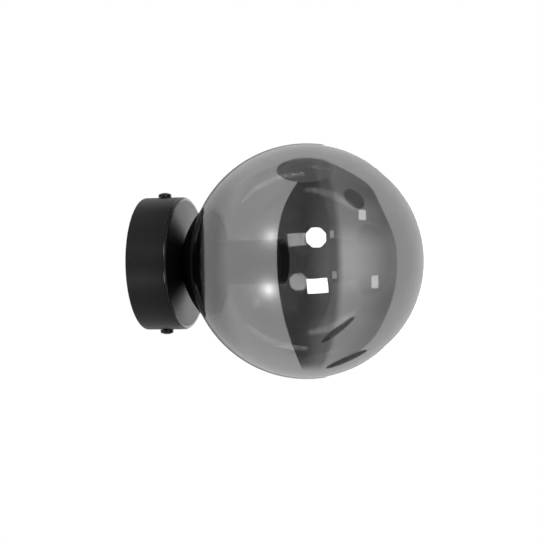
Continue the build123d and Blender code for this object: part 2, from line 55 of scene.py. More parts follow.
def new_finish(name, colour, roughness, metallic=0.0):
    """A material with one principled shader, its constants set on the shader's own sockets."""
    finish = bpy.data.materials.new(name)
    finish.use_nodes = True
    shader = finish.node_tree.nodes["Principled BSDF"]
    shader.inputs["Base Color"].default_value = (*colour, 1)
    shader.inputs["Roughness"].default_value = roughness
    shader.inputs["Metallic"].default_value = metallic
    return finish, shader


def noise_of(finish, scale, detail=3.0, stretch=(1, 1, 1)):
    """Noise in the piece's own coordinates; scale is in repeats per metre."""
    nodes, links = finish.node_tree.nodes, finish.node_tree.links
    place = nodes.new("ShaderNodeTexCoord")
    mapping = nodes.new("ShaderNodeMapping")
    mapping.inputs["Scale"].default_value = stretch
    noise = nodes.new("ShaderNodeTexNoise")
    noise.inputs["Scale"].default_value = scale
    noise.inputs["Detail"].default_value = detail
    links.new(place.outputs["Object"], mapping.inputs["Vector"])
    links.new(mapping.outputs["Vector"], noise.inputs["Vector"])
    return noise.outputs["Fac"]


def spread(finish, value, low, high, from_low=0.3, from_high=0.7):
    """The value remapped from its usual span to low..high."""
    remap = finish.node_tree.nodes.new("ShaderNodeMapRange")
    remap.inputs["From Min"].default_value = from_low
    remap.inputs["From Max"].default_value = from_high
    remap.inputs["To Min"].default_value = low
    remap.inputs["To Max"].default_value = high
    finish.node_tree.links.new(value, remap.inputs["Value"])
    return remap.outputs["Result"]


def vary_colour(finish, shader, value, dark, light):
    """Base colour between two tones by the value."""
    mix = finish.node_tree.nodes.new("ShaderNodeMix")
    mix.data_type = "RGBA"
    mix.inputs["A"].default_value = (*dark, 1)
    mix.inputs["B"].default_value = (*light, 1)
    finish.node_tree.links.new(value, mix.inputs["Factor"])
    finish.node_tree.links.new(mix.outputs["Result"], shader.inputs["Base Color"])


def bump(finish, shader, height, strength, depth):
    """Surface relief from the height value; depth in metres."""
    relief = finish.node_tree.nodes.new("ShaderNodeBump")
    relief.inputs["Strength"].default_value = strength
    relief.inputs["Distance"].default_value = depth
    finish.node_tree.links.new(height, relief.inputs["Height"])
    finish.node_tree.links.new(relief.outputs["Normal"], shader.inputs["Normal"])


def zinc_plate():
    """Bright zinc with the spangle and fine scratches of barrel plating."""
    finish, shader = new_finish("zinc_plate", (0.60, 0.61, 0.63), 0.3, metallic=1.0)
    cloud = noise_of(finish, 260, detail=4)
    vary_colour(finish, shader, spread(finish, cloud, 0, 1), (0.50, 0.51, 0.53), (0.70, 0.71, 0.72))
    streaks = noise_of(finish, 900, stretch=(1, 1, 0.12))
    finish.node_tree.links.new(spread(finish, streaks, 0.24, 0.44), shader.inputs["Roughness"])
    bump(finish, shader, streaks, 0.25, 0.00003)
    return finish


def dress(node, finish):
    """Gives a carried-over piece its finish."""
    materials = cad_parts[node].data.materials
    materials.clear()
    materials.append(finish)


zinc = zinc_plate()
dress("wall_bracket", zinc)

# ---- Canopy ----------------------------------------------------------------------------------------------
# A drum drawn from 1 mm steel, open at the wall, with a rolled front edge, powder coated in satin black. It
# hides the bracket and the wiring, and two screws through its side hold it to the bracket's ears.
mm = 0.001
canopy_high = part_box("canopy")[1]
canopy_radius = canopy_high.z
canopy_depth = canopy_high.x
canopy_sheet = 1.0 * mm
canopy_edge = 2.0 * mm
rim_edge = 0.35 * mm
tube_hole = 5.15 * mm
side_hole = 2.25 * mm
screw_place = 11.5 * mm


def arc_points(centre, radius, start, end, count):
    """Points on an arc in the half-plane of (place along the axis, distance from it)."""
    steps = range(count + 1)
    angles = [start + (end - start) * step / count for step in steps]
    return [(centre + radius * cos(angle), radius * sin(angle)) for angle in angles]


def rounded(outline, corner_radii, count=6):
    """The closed outline with the corners named by index rounded to their radius."""
    points = []
    for index, corner in enumerate(outline):
        radius = corner_radii.get(index, 0)
        if not radius:
            points.append(corner)
            continue
        here = Vector(corner)
        before = (Vector(outline[index - 1]) - here).normalized()
        after = (Vector(outline[(index + 1) % len(outline)]) - here).normalized()
        half = before.angle(after) / 2
        reach = radius / tan(half)
        middle = here + (before + after).normalized() * radius / sin(half)
        first, last = here + before * reach - middle, here + after * reach - middle
        turn = atan2(first.x * last.y - first.y * last.x, first.dot(last))
        for step in range(count + 1):
            spin = turn * step / count
            points.append(
                (
                    middle.x + first.x * cos(spin) - first.y * sin(spin),
                    middle.y + first.x * sin(spin) + first.y * cos(spin),
                )
            )
    return points


def finish_mesh(name, mesh_work, finish, body, nodes, crease=35):
    """The piece as an object: smooth faces, crisp edges past the crease angle, its finish and its body."""
    bmesh.ops.recalc_face_normals(mesh_work, faces=mesh_work.faces)
    mesh = bpy.data.meshes.new(name)
    mesh_work.to_mesh(mesh)
    mesh_work.free()
    mesh.shade_smooth()
    mesh.set_sharp_from_angle(angle=radians(crease))
    mesh.materials.append(finish)
    piece = bpy.data.objects.new(name, mesh)
    bpy.context.scene.collection.objects.link(piece)
    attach(piece, body)
    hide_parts(*nodes)
    return piece


def turned_mesh(outline, steps=128, closed=True, shape=None):
    """Outline of (place, radius) turned about the lamp's axis; shape shifts a radius by place and angle."""
    work = bmesh.new()
    rings = []
    for place, radius in outline:
        if radius < 1e-7:
            rings.append([work.verts.new((place, 0, 0))])
            continue
        ring = []
        for step in range(steps):
            angle = 2 * pi * step / steps
            reach = radius + (shape(place, radius, angle) if shape else 0)
            ring.append(work.verts.new((place, -reach * sin(angle), reach * cos(angle))))
        rings.append(ring)
    pairs = list(zip(rings, rings[1:])) + ([(rings[-1], rings[0])] if closed else [])
    for near, far in pairs:
        for step in range(steps):
            after = (step + 1) % steps
            corners = []
            for ring, index in ((near, step), (near, after), (far, after), (far, step)):
                vert = ring[index] if len(ring) > 1 else ring[0]
                if vert not in corners:
                    corners.append(vert)
            if len(corners) > 2:
                work.faces.new(corners)
    return work


def powder_coat():
    """Fine satin powder: a soft orange peel, slightly uneven gloss and a little settled dust."""
    finish, shader = new_finish("powder_coat", (0.0042, 0.0042, 0.0045), 0.38)
    shader.inputs["Specular IOR Level"].default_value = 0.3
    peel = noise_of(finish, 1400, detail=2)
    bump(finish, shader, peel, 0.10, 0.00004)
    patches = noise_of(finish, 45, detail=2)
    finish.node_tree.links.new(spread(finish, patches, 0.36, 0.42), shader.inputs["Roughness"])
    dust = noise_of(finish, 1600, detail=0)
    dust_mask = spread(finish, dust, 0, 1, from_low=0.80, from_high=0.86)
    vary_colour(finish, shader, dust_mask, (0.0042, 0.0042, 0.0045), (0.05, 0.05, 0.05))
    return finish


coat = powder_coat()
canopy_outline = rounded(
    [
        (0, canopy_radius - canopy_sheet),
        (0, canopy_radius),
        (canopy_depth, canopy_radius),
        (canopy_depth, tube_hole),
        (canopy_depth - canopy_sheet, tube_hole),
        (canopy_depth - canopy_sheet, canopy_radius - canopy_sheet),
    ],
    {1: rim_edge, 2: canopy_edge, 5: canopy_edge - canopy_sheet},
)
canopy = finish_mesh(
    "canopy_shell", turned_mesh(canopy_outline, steps=192), coat, "base", ["canopy"]
)


def cut(piece, tool_mesh):
    """Takes the tool's shape out of the piece and applies the cut."""
    mesh = bpy.data.meshes.new("cutter")
    bmesh.ops.recalc_face_normals(tool_mesh, faces=tool_mesh.faces)
    tool_mesh.to_mesh(mesh)
    tool_mesh.free()
    cutter = bpy.data.objects.new("cutter", mesh)
    bpy.context.scene.collection.objects.link(cutter)
    cutting = piece.modifiers.new("cut", "BOOLEAN")
    cutting.operation = "DIFFERENCE"
    cutting.solver = "EXACT"
    cutting.object = cutter
    evaluated = piece.evaluated_get(bpy.context.evaluated_depsgraph_get())
    result = bpy.data.meshes.new_from_object(evaluated)
    piece.modifiers.remove(cutting)
    old = piece.data
    piece.data = result
    bpy.data.meshes.remove(old)
    bpy.data.objects.remove(cutter)
    bpy.data.meshes.remove(mesh)


def upright_rod(radius, low, high, steps=48):
    """A rod along Z at the side screws' place."""
    work = bmesh.new()
    shift = Matrix.Translation((screw_place, 0, (low + high) / 2))
    bmesh.ops.create_cone(
        work, cap_ends=True, segments=steps, radius1=radius, radius2=radius, depth=high - low, matrix=shift
    )
    return work


cut(canopy, upright_rod(side_hole, -canopy_radius - mm, canopy_radius + mm))


def rubbed_coat():
    """The powder coat where handling has polished it, along the rolled edge."""
    finish, shader = new_finish("powder_coat_rubbed", (0.010, 0.010, 0.0105), 0.2)
    shader.inputs["Specular IOR Level"].default_value = 0.5
    peel = noise_of(finish, 1400, detail=2)
    bump(finish, shader, peel, 0.06, 0.00003)
    finish.node_tree.links.new(spread(finish, peel, 0.16, 0.24), shader.inputs["Roughness"])
    return finish


canopy.data.materials.append(rubbed_coat())
rubbed_band = 0.95 * canopy_edge
for face in canopy.data.polygons:
    reach = hypot(face.center.y, face.center.z)
    if face.center.x > canopy_depth - rubbed_band and reach > canopy_radius - rubbed_band:
        face.material_index = 1

# ---- Side screws -----------------------------------------------------------------------------------------
# Two M4 pan-head screws with a cross recess, black oxide steel, one above and one below the drum.
# They go through the drum's side into the bracket's ears, and each turns on its own thread.
screw_low, screw_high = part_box("side_screw_upper")
screw_tip, head_top = screw_low.z, screw_high.z
head_height = 2.87 * mm
head_radius = (screw_high.x - screw_low.x) / 2
head_seat = head_top - head_height
head_shoulder = 1.1 * mm
shank_radius = 2.0 * mm
thread_pitch = 0.7 * mm
thread_depth = 0.35 * mm
recess_width = 0.95 * mm
recess_span = 4.6 * mm
recess_depth = 1.5 * mm
recess_foot = 0.35
recess_taper = 0.75
tip_chamfer = 0.3 * mm
tip_radius = 1.5 * mm
plain_shank = 0.4 * mm
head_edge = 0.1 * mm
head_round = 0.12 * mm
dome_steps = 10


def black_oxide():
    """Oiled black oxide: dark and shiny, with a fine machined grain."""
    finish, shader = new_finish("black_oxide", (0.02, 0.02, 0.021), 0.22, metallic=0.6)
    grain = noise_of(finish, 2200, detail=2)
    finish.node_tree.links.new(spread(finish, grain, 0.15, 0.34), shader.inputs["Roughness"])
    bump(finish, shader, grain, 0.2, 0.00002)
    return finish


def threaded(crest, pitch, depth, end=inf):
    """A V-shaped thread for turned_mesh, on the stretch at the crest's radius; a nut's depth is below 0."""

    def shift(place, radius, angle):
        if abs(radius - crest) > 1e-6 or place >= end:
            return 0
        turn = place / pitch - angle / (2 * pi)
        return -depth * abs(2 * (turn - floor(turn)) - 1)

    return shift


def fine_run(start, end, radius, step):
    """Evenly spaced points along a straight stretch of an outline, its two ends included."""
    count = max(1, ceil(abs(end - start) / step))
    return [(start + (end - start) * index / count, radius) for index in range(count + 1)]


def recess_wedge(turn):
    """One arm pair of the cross recess, narrowing to its foot."""
    work = bmesh.new()
    bmesh.ops.create_cube(work, size=1)
    for vert in work.verts:
        foot = recess_foot if vert.co.z < 0 else 1
        vert.co.x *= recess_span * foot
        vert.co.y *= recess_width * (recess_taper if vert.co.z < 0 else 1)
        vert.co.z = head_top + (mm if vert.co.z > 0 else -recess_depth)
    bmesh.ops.rotate(work, verts=work.verts, cent=(0, 0, 0), matrix=Matrix.Rotation(turn, 3, "Z"))
    bmesh.ops.translate(work, verts=work.verts, vec=(screw_place, 0, 0))
    return work


oxide = black_oxide()
dome = (head_radius**2 + head_shoulder**2) / (2 * head_shoulder)
head_outline = [(head_seat, head_radius - head_edge), (head_seat + head_edge, head_radius)]
for step in range(dome_steps + 1):
    reach = head_radius * (1 - step / dome_steps)
    lift = head_top - dome + sqrt(dome**2 - reach**2)
    head_outline.append((lift, min(reach, head_radius - head_round * max(0, 1 - step))))
shank_outline = [(screw_tip, 0.0), (screw_tip, tip_radius)]
shank_outline += fine_run(screw_tip + tip_chamfer, head_seat - plain_shank, shank_radius, thread_pitch / 8)
shank_outline.append((head_seat, shank_radius))

for name, body, turn in (("side_screw_upper", "upper_screw", 0), ("side_screw_lower", "lower_screw", pi)):
    screw_mesh = turned_mesh(
        shank_outline + head_outline,
        steps=48,
        closed=False,
        shape=threaded(shank_radius, thread_pitch, thread_depth, end=head_seat),
    )
    stand = Matrix.Translation((screw_place, 0, 0)) @ Matrix.Rotation(-pi / 2, 4, "Y")
    bmesh.ops.transform(screw_mesh, matrix=stand, verts=screw_mesh.verts)
    screw = finish_mesh(name + "_pan_head", screw_mesh, oxide, body, [name], crease=30)
    for arm in (pi / 4, 3 * pi / 4):
        cut(screw, recess_wedge(arm))
    if turn:
        screw.data.transform(Matrix.Rotation(turn, 4, "X"))

# ---- Threaded tube, lock washer and nut ------------------------------------------------------------------
# A length of M10 x 1 steel tube runs through canopy, bowl and lampholder; a toothed washer and a hex nut
# inside the canopy pull them together. A plastic bush in its rear end keeps the leads off the steel edge.
tube_low, tube_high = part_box("threaded_tube")
tube_radius = tube_high.z
tube_bore = 4.0 * mm
tube_pitch = 1.0 * mm
tube_thread_depth = 0.5 * mm
tube_chamfer = 0.4 * mm
tube_outline = [(tube_low.x, tube_bore), (tube_low.x, tube_radius - tube_chamfer)]
tube_outline += fine_run(tube_low.x + tube_chamfer, tube_high.x - tube_chamfer, tube_radius, tube_pitch / 8)
tube_outline += [(tube_high.x, tube_radius - tube_chamfer), (tube_high.x, tube_bore)]
finish_mesh(
    "threaded_tube_m10",
    turned_mesh(
        tube_outline,
        steps=72,
        shape=threaded(tube_radius, tube_pitch, tube_thread_depth),
    ),
    zinc,
    "base",
    ["threaded_tube"],
    crease=60,
)
for node in ("lock_washer", "tube_nut"):
    dress(node, zinc)


def polyamide():
    """Natural polyamide: off-white, waxy, with the faint flow marks of moulding."""
    finish, shader = new_finish("polyamide", (0.78, 0.77, 0.72), 0.42)
    shader.inputs["Subsurface Weight"].default_value = 0.15
    shader.inputs["Subsurface Radius"].default_value = (0.0012, 0.0011, 0.0010)
    marks = noise_of(finish, 220, detail=4)
    vary_colour(finish, shader, spread(finish, marks, 0, 1), (0.73, 0.72, 0.66), (0.82, 0.81, 0.77))
    bump(finish, shader, marks, 0.15, 0.00004)
    return finish


nylon = polyamide()
dress("tube_bush", nylon)

# ---- Bowl holder -----------------------------------------------------------------------------------------
# A shallow bowl spun from 1 mm steel, flat where it meets the canopy, in the same black powder coat.
# The globe's lip rests on its rim with a thin gasket between them.
bowl_low, bowl_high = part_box("holder_bowl")
bowl_sheet = 1.0 * mm
bowl_flat = 9.0 * mm
bowl_steps = 40
rim_outside_edge = 0.35 * mm
rim_inside_edge = 0.25 * mm
bowl_rim_radius = bowl_high.z
bowl_depth = bowl_high.x - bowl_low.x
bowl_offset = (bowl_rim_radius**2 + bowl_depth**2 - bowl_flat**2) / (2 * bowl_depth)
bowl_centre = bowl_low.x + bowl_offset
bowl_outer = hypot(bowl_flat, bowl_offset)
bowl_inner = bowl_outer - bowl_sheet


def sphere_angle(centre, radius, place):
    """Polar angle, from the +X end, of a sphere's circle at a place along the axis."""
    return pi / 2 + asin((centre - place) / radius)


bowl_floor = bowl_low.x + bowl_sheet
rim_out = sphere_angle(bowl_centre, bowl_outer, bowl_high.x)
rim_in = sphere_angle(bowl_centre, bowl_inner, bowl_high.x)
foot_out = sphere_angle(bowl_centre, bowl_outer, bowl_low.x)
foot_in = sphere_angle(bowl_centre, bowl_inner, bowl_floor)
bowl_outline = [(bowl_low.x, tube_hole)]
bowl_outline += arc_points(bowl_centre, bowl_outer, foot_out, rim_out, bowl_steps)
bowl_outline += arc_points(bowl_centre, bowl_inner, rim_in, foot_in, bowl_steps)
bowl_outline.append((bowl_floor, tube_hole))
rim_rounds = {bowl_steps + 1: rim_outside_edge, bowl_steps + 2: rim_inside_edge}
bowl_outline = rounded(bowl_outline, rim_rounds, count=4)


def bowl_coat_painted_shade():
    """The same powder over a spun surface that faces away from the light, its base colour darker than the
    canopy's as painted shade and its gloss weaker: deep black, with a fine peel.
    """
    # Painted shade: the base colour is set darker than the canopy's powder coat, though the bowl is the
    # same powder.
    finish, shader = new_finish("bowl_coat_painted_shade", (0.0022, 0.0022, 0.0024), 0.42)
    shader.inputs["Specular IOR Level"].default_value = 0.10
    peel = noise_of(finish, 1400, detail=2)
    bump(finish, shader, peel, 0.10, 0.00004)
    finish.node_tree.links.new(spread(finish, noise_of(finish, 45), 0.38, 0.46), shader.inputs["Roughness"])
    return finish


bowl_mesh = turned_mesh(bowl_outline, steps=192)
finish_mesh("holder_bowl_spun", bowl_mesh, bowl_coat_painted_shade(), "base", ["holder_bowl"])

# ---- Threaded ring and collar ----------------------------------------------------------------------------
# A pressed steel ring clamped in the bowl has a coarse inner thread; the aluminium collar bonded in the
# globe's mouth screws into it. Both are matt black, so that nothing shines behind the glass.
ring_low, ring_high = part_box("holder_ring")
collar_low, collar_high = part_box("glass_collar")
ring_sheet = 1.0 * mm
ring_hub = 8.0 * mm
ring_setback = 0.4 * mm
ring_outer = ring_high.z
ring_thread = ring_outer - ring_sheet
glass_pitch = 2.0 * mm
glass_thread_depth = 0.45 * mm
collar_thread = 26.0 * mm
collar_bore = 24.4 * mm
collar_flange = collar_high.z
flange_sheet = 0.8 * mm
collar_boss = 31.5 * mm


def matt_black():
    """Thin matt black lacquer over metal, rubbed a little at the crests."""
    finish, shader = new_finish("matt_black", (0.008, 0.008, 0.008), 0.6)
    shader.inputs["Specular IOR Level"].default_value = 0.25
    mottle = noise_of(finish, 600, detail=3)
    finish.node_tree.links.new(spread(finish, mottle, 0.54, 0.66), shader.inputs["Roughness"])
    bump(finish, shader, mottle, 0.12, 0.00003)
    return finish


lacquer = matt_black()
ring_floor = ring_low.x + ring_sheet
ring_corner = bowl_centre - sqrt(bowl_inner**2 - ring_outer**2) + ring_setback
ring_slope = (ring_corner - ring_low.x) / (ring_outer - ring_hub)
ring_outline = [(ring_low.x, tube_hole), (ring_low.x, ring_hub), (ring_corner, ring_outer)]
ring_outline += [(ring_high.x, ring_outer)]
ring_outline += fine_run(
    ring_high.x, ring_floor + ring_slope * (ring_thread - ring_hub), ring_thread, glass_pitch / 8
)
ring_outline += [(ring_floor, ring_hub), (ring_floor, tube_hole)]
finish_mesh(
    "holder_ring_threaded",
    turned_mesh(
        ring_outline,
        steps=144,
        shape=threaded(ring_thread, glass_pitch, -glass_thread_depth),
    ),
    lacquer,
    "base",
    ["holder_ring"],
    crease=50,
)
flange_front = collar_high.x - flange_sheet
collar_outline = [(collar_low.x, collar_bore)]
collar_outline += fine_run(collar_low.x, flange_front - flange_sheet, collar_thread, glass_pitch / 8)
collar_outline += [
    (flange_front - flange_sheet, collar_flange),
    (flange_front, collar_flange),
    (flange_front, collar_boss),
    (collar_high.x, collar_boss),
    (collar_high.x, collar_bore),
]
finish_mesh(
    "glass_collar_threaded",
    turned_mesh(
        collar_outline,
        steps=144,
        shape=threaded(collar_thread, glass_pitch, glass_thread_depth),
    ),
    lacquer,
    "globe",
    ["glass_collar"],
    crease=50,
)

# ---- Gasket ----------------------------------------------------------------------------------------------
# A flat ring punched from 0.9 mm black silicone sheet, soft and dull. It lies loose on the bowl's rim, and
# the globe's lip presses it down as the globe is screwed in.
gasket_low, gasket_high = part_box("glass_gasket")
gasket_bore = 33.0 * mm
gasket_edge = 0.25 * mm


def silicone():
    """Dull black silicone with a slightly dusty bloom."""
    finish, shader = new_finish("silicone", (0.006, 0.006, 0.006), 0.7)
    shader.inputs["Specular IOR Level"].default_value = 0.12
    bloom = noise_of(finish, 500, detail=4)
    vary_colour(finish, shader, spread(finish, bloom, 0, 1), (0.004, 0.004, 0.004), (0.009, 0.009, 0.009))
    return finish


gasket_outline = rounded(
    [
        (gasket_low.x, gasket_bore),
        (gasket_low.x, gasket_high.z),
        (gasket_high.x, gasket_high.z),
        (gasket_high.x, gasket_bore),
    ],
    {1: gasket_edge, 2: gasket_edge},
    count=4,
)
gasket_mesh = turned_mesh(gasket_outline, steps=192)
finish_mesh("glass_gasket_ring", gasket_mesh, silicone(), "gasket", ["glass_gasket"])

# ---- Lampholder ------------------------------------------------------------------------------------------
# A smooth-skirt E14 holder in black moulded plastic: a cap screwed on the tube, a long skirt with a mouth,
# a steatite core with two contacts, and the pressed brass screw shell that takes the lamp.
cap_low, cap_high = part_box("lampholder_cap")
skirt_low, skirt_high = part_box("lampholder_skirt")
shell_low, shell_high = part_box("screw_shell")
holder_radius = skirt_high.z
holder_wall = 1.4 * mm
holder_bore = holder_radius - holder_wall
spigot_play = 0.05 * mm
spigot = holder_bore - spigot_play
spigot_bore = spigot - holder_wall
boss_radius = 7.2 * mm
boss_height = 3.0 * mm
boss_edge = 0.4 * mm
boss_root = 0.8 * mm
shoulder = 3.0 * mm
cap_floor = 6.0 * mm
joint_bevel = 0.25 * mm
web_depth = 5.0 * mm
web_sheet = 1.5 * mm
web_root = 0.6 * mm
web_edge = 0.3 * mm
web_play = 0.2 * mm
mouth_round = 0.55 * mm
shell_sheet = 0.35 * mm
shell_bore = shell_high.z - shell_sheet
shell_neck = 6.4 * mm
shell_flange = 5.0 * mm
neck_depth = 5.55 * mm
neck_end = shell_low.x + neck_depth
thread_fade = 1.5 * mm
plain_end = 0.4 * mm
thread_start = neck_end + shell_bore - shell_neck
lamp_pitch = 2.82 * mm
lamp_thread_depth = 0.75 * mm


def moulded_black():
    """Black thermoplastic from a fine spark-eroded mould: even satin with a faint grain."""
    finish, shader = new_finish("moulded_black", (0.018, 0.018, 0.019), 0.38)
    grain = noise_of(finish, 1900, detail=1)
    finish.node_tree.links.new(spread(finish, grain, 0.33, 0.43), shader.inputs["Roughness"])
    bump(finish, shader, grain, 0.08, 0.00003)
    return finish


plastic = moulded_black()
cap_outline = rounded(
    [
        (cap_low.x, tube_hole),
        (cap_low.x, boss_radius),
        (cap_low.x + boss_height, boss_radius),
        (cap_low.x + boss_height + shoulder, holder_radius),
        (cap_high.x - joint_bevel, holder_radius),
        (cap_high.x, holder_radius - joint_bevel),
        (cap_high.x, holder_bore),
        (cap_low.x + cap_floor, holder_bore),
        (cap_low.x + cap_floor, tube_hole),
    ],
    {1: boss_edge, 2: boss_root, 3: shoulder / 2},
)
cap_mesh = turned_mesh(cap_outline)
finish_mesh("lampholder_cap_moulded", cap_mesh, plastic, "base", ["lampholder_cap"])
web_hole = shell_high.z + web_play
skirt_outline = rounded(
    [
        (skirt_low.x, spigot_bore),
        (skirt_low.x, spigot),
        (cap_high.x, spigot),
        (cap_high.x, holder_radius - joint_bevel),
        (cap_high.x + joint_bevel, holder_radius),
        (skirt_high.x, holder_radius),
        (skirt_high.x, holder_bore),
        (skirt_high.x - web_depth, holder_bore),
        (skirt_high.x - web_depth, web_hole),
        (skirt_high.x - web_depth - web_sheet, web_hole),
        (skirt_high.x - web_depth - web_sheet, spigot_bore),
    ],
    {5: mouth_round, 6: mouth_round, 7: web_root, 8: web_edge},
)
skirt_mesh = turned_mesh(skirt_outline)
finish_mesh("lampholder_skirt_moulded", skirt_mesh, plastic, "base", ["lampholder_skirt"])


def steatite():
    """Unglazed white steatite: chalky, faintly speckled."""
    finish, shader = new_finish("steatite", (0.80, 0.78, 0.73), 0.7)
    speckle = noise_of(finish, 900, detail=5)
    vary_colour(finish, shader, spread(finish, speckle, 0, 1), (0.72, 0.70, 0.65), (0.84, 0.83, 0.79))
    bump(finish, shader, speckle, 0.3, 0.00004)
    return finish


def pressed_brass():
    """Bright brass, slightly clouded by handling."""
    finish, shader = new_finish("pressed_brass", (0.80, 0.60, 0.28), 0.25, metallic=1.0)
    cloud = noise_of(finish, 300, detail=4)
    vary_colour(finish, shader, spread(finish, cloud, 0, 1), (0.68, 0.50, 0.22), (0.85, 0.66, 0.33))
    finish.node_tree.links.new(spread(finish, cloud, 0.36, 0.20), shader.inputs["Roughness"])
    return finish


brass = pressed_brass()
dress("lampholder_core", steatite())
for node in ("centre_contact", "side_contact"):
    dress(node, brass)


def round_wave(place, angle, pitch, depth):
    """Radial shift of a rolled knuckle thread, half out and half in."""
    return -depth / 2 * (1 + cos(2 * pi * place / pitch - angle))


shell_outline = [(shell_low.x, shell_flange), (shell_low.x + shell_sheet, shell_flange)]
shell_outline += [(shell_low.x + shell_sheet, shell_neck), (neck_end, shell_neck)]
shell_outline += fine_run(thread_start, shell_high.x, shell_bore, lamp_pitch / 12)
shell_outline += fine_run(shell_high.x, thread_start, shell_bore + shell_sheet, lamp_pitch / 12)
shell_outline += [(neck_end, shell_neck + shell_sheet), (shell_low.x, shell_neck + shell_sheet)]


def shell_shape(place, radius, angle):
    """Rolled thread between the shell's neck and its plain mouth."""
    plain = min(place - thread_start, shell_high.x - place)
    fade = min(1, max(0, (plain - plain_end) / thread_fade))
    return fade * round_wave(place, angle, lamp_pitch, lamp_thread_depth)


finish_mesh(
    "screw_shell_rolled",
    turned_mesh(shell_outline, steps=96, shape=shell_shape),
    brass,
    "base",
    ["screw_shell"],
    crease=50,
)

# ---- Glass globe -----------------------------------------------------------------------------------------
# A ball blown in 1.6 mm glass, smoked grey and half mirrored by a thin metal vapour coat. Its mouth is cut
# and bent flat into a lip, which seats on the gasket; the black collar is bonded inside the lip.
globe_low, globe_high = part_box("glass_globe")
globe_radius = globe_high.z
globe_wall = 1.6 * mm
globe_centre = globe_high.x - globe_radius
mouth_radius = 31.7 * mm
lip_edge = 2.0 * mm
cut_edge = 0.4 * mm
globe_steps = 120
glass_tint = (0.72, 0.72, 0.725)
smoke_density = 30


def smoked_glass():
    """Clear glass with a smoke tint and a thin reflecting metal coat, slightly uneven as vapour settles."""
    finish, shader = new_finish("smoked_glass", glass_tint, 0.0, metallic=0.25)
    shader.inputs["Transmission Weight"].default_value = 1.0
    shader.inputs["IOR"].default_value = 1.5
    coat_cloud = noise_of(finish, 28, detail=3)
    vary_colour(finish, shader, spread(finish, coat_cloud, 0, 1), (0.70, 0.70, 0.705), (0.74, 0.74, 0.745))
    nodes = finish.node_tree.nodes
    smoke = nodes.new("ShaderNodeVolumeAbsorption")
    smoke.inputs["Color"].default_value = (0, 0, 0, 1)
    smoke.inputs["Density"].default_value = smoke_density
    finish.node_tree.links.new(smoke.outputs["Volume"], nodes["Material Output"].inputs["Volume"])
    return finish


globe_inner = globe_radius - globe_wall
lip_front = globe_low.x + globe_wall
outer_end = sphere_angle(globe_centre, globe_radius, globe_low.x)
inner_end = sphere_angle(globe_centre, globe_inner, lip_front)
lip_rounds = {
    globe_steps: lip_edge,
    globe_steps + 1: cut_edge,
    globe_steps + 2: cut_edge,
    globe_steps + 3: lip_edge / 2,
}
globe_outline = arc_points(globe_centre, globe_radius, 0, outer_end, globe_steps)
globe_outline += [(globe_low.x, mouth_radius), (lip_front, mouth_radius)]
globe_outline += arc_points(globe_centre, globe_inner, inner_end, 0, globe_steps)
globe_outline = rounded(globe_outline, lip_rounds, count=8)
finish_mesh(
    "glass_globe_blown",
    turned_mesh(globe_outline, steps=256, closed=False),
    smoked_glass(),
    "globe",
    ["glass_globe"],
    crease=60,
)

# ---- Terminal block --------------------------------------------------------------------------------------
# A three-pole block of natural polyamide on the bracket's wing: brass inserts, two clamp screws to each
# pole, and two screws that hold it down. The mains cores come in at its outer side.
dress("terminal_block", nylon)
dress("block_inserts", brass)
for node in ("clamp_screws", "block_fixing_screws"):
    dress(node, zinc)

# ---- Leads and earth terminal ----------------------------------------------------------------------------
# Brown, blue and green-yellow single leads from the block; brown and blue run up the tube to the holder's
# core, and the earth lead ends in a tinned ring terminal clamped under the nut.


def sleeve(name, colour, dark):
    """Soft plastic sleeve over a copper core, a little glossy."""
    finish, shader = new_finish(name, colour, 0.4)
    mottle = noise_of(finish, 400, detail=3)
    vary_colour(finish, shader, spread(finish, mottle, 0, 1), dark, colour)
    return finish


def earth_sleeve():
    """Green and yellow stripes along the lead."""
    finish, shader = new_finish("earth_sleeve", (0.5, 0.5, 0.03), 0.4)
    stripe_edge = 0.05 * mm
    nodes, links = finish.node_tree.nodes, finish.node_tree.links
    place = nodes.new("ShaderNodeTexCoord")
    parts = nodes.new("ShaderNodeSeparateXYZ")
    links.new(place.outputs["Object"], parts.inputs["Vector"])
    vary_colour(
        finish,
        shader,
        spread(finish, parts.outputs["Z"], 0, 1, from_low=-stripe_edge, from_high=stripe_edge),
        (0.02, 0.22, 0.03),
        (0.75, 0.62, 0.02),
    )
    return finish


def tinned():
    """Tinned copper, soft and dull."""
    finish, shader = new_finish("tinned", (0.70, 0.68, 0.64), 0.38, metallic=1.0)
    cloud = noise_of(finish, 500, detail=4)
    finish.node_tree.links.new(spread(finish, cloud, 0.3, 0.48), shader.inputs["Roughness"])
    return finish


dress("live_lead", sleeve("brown_sleeve", (0.16, 0.06, 0.025), (0.11, 0.04, 0.018)))
dress("neutral_lead", sleeve("blue_sleeve", (0.02, 0.12, 0.42), (0.015, 0.09, 0.34)))
dress("earth_lead", earth_sleeve())
dress("earth_terminal", tinned())

# ---- Studio ----------------------------------------------------------------------------------------------
# White surroundings, a pale floor below the lamp, and a dark half of the studio on the camera's side that
# only reflections show, with two soft boxes in it, one high and one low. Its cards stand where the globe
# mirrors them to the camera, so the camera's own values are the first here.
lamp_centre = Vector((globe_centre, 0, 0))
camera_azimuth = radians(16.4)
camera_roll = radians(-0.9)
camera_distance = 1.19
focal_pixels = 2000.0
picture_width = 540
sensor_width = 36.0
centre_right = 36.6
centre_up = 8.8
backdrop_side = 0.68
backdrop_wall = 0.44
backdrop_behind = 0.20
room_distance = 2.6
diffuser_distance = 2.7
diffuser_width = 20
diffuser_spots = ((-17.5, 11.9, 2.3), (-19.2, -13.2, 3.8))
spot_radius = 3.2
spot_squeeze = 0.9
spot_fall = 1.3
panel_distance = 1.6
soft_box_distance = 1.3
soft_box_strength = 6.0
patch_top, patch_bottom = 60, -70

back = Vector((sin(camera_azimuth), -cos(camera_azimuth), 0))
right = Vector((cos(camera_azimuth), sin(camera_azimuth), 0))
up = Vector((0, 0, 1))


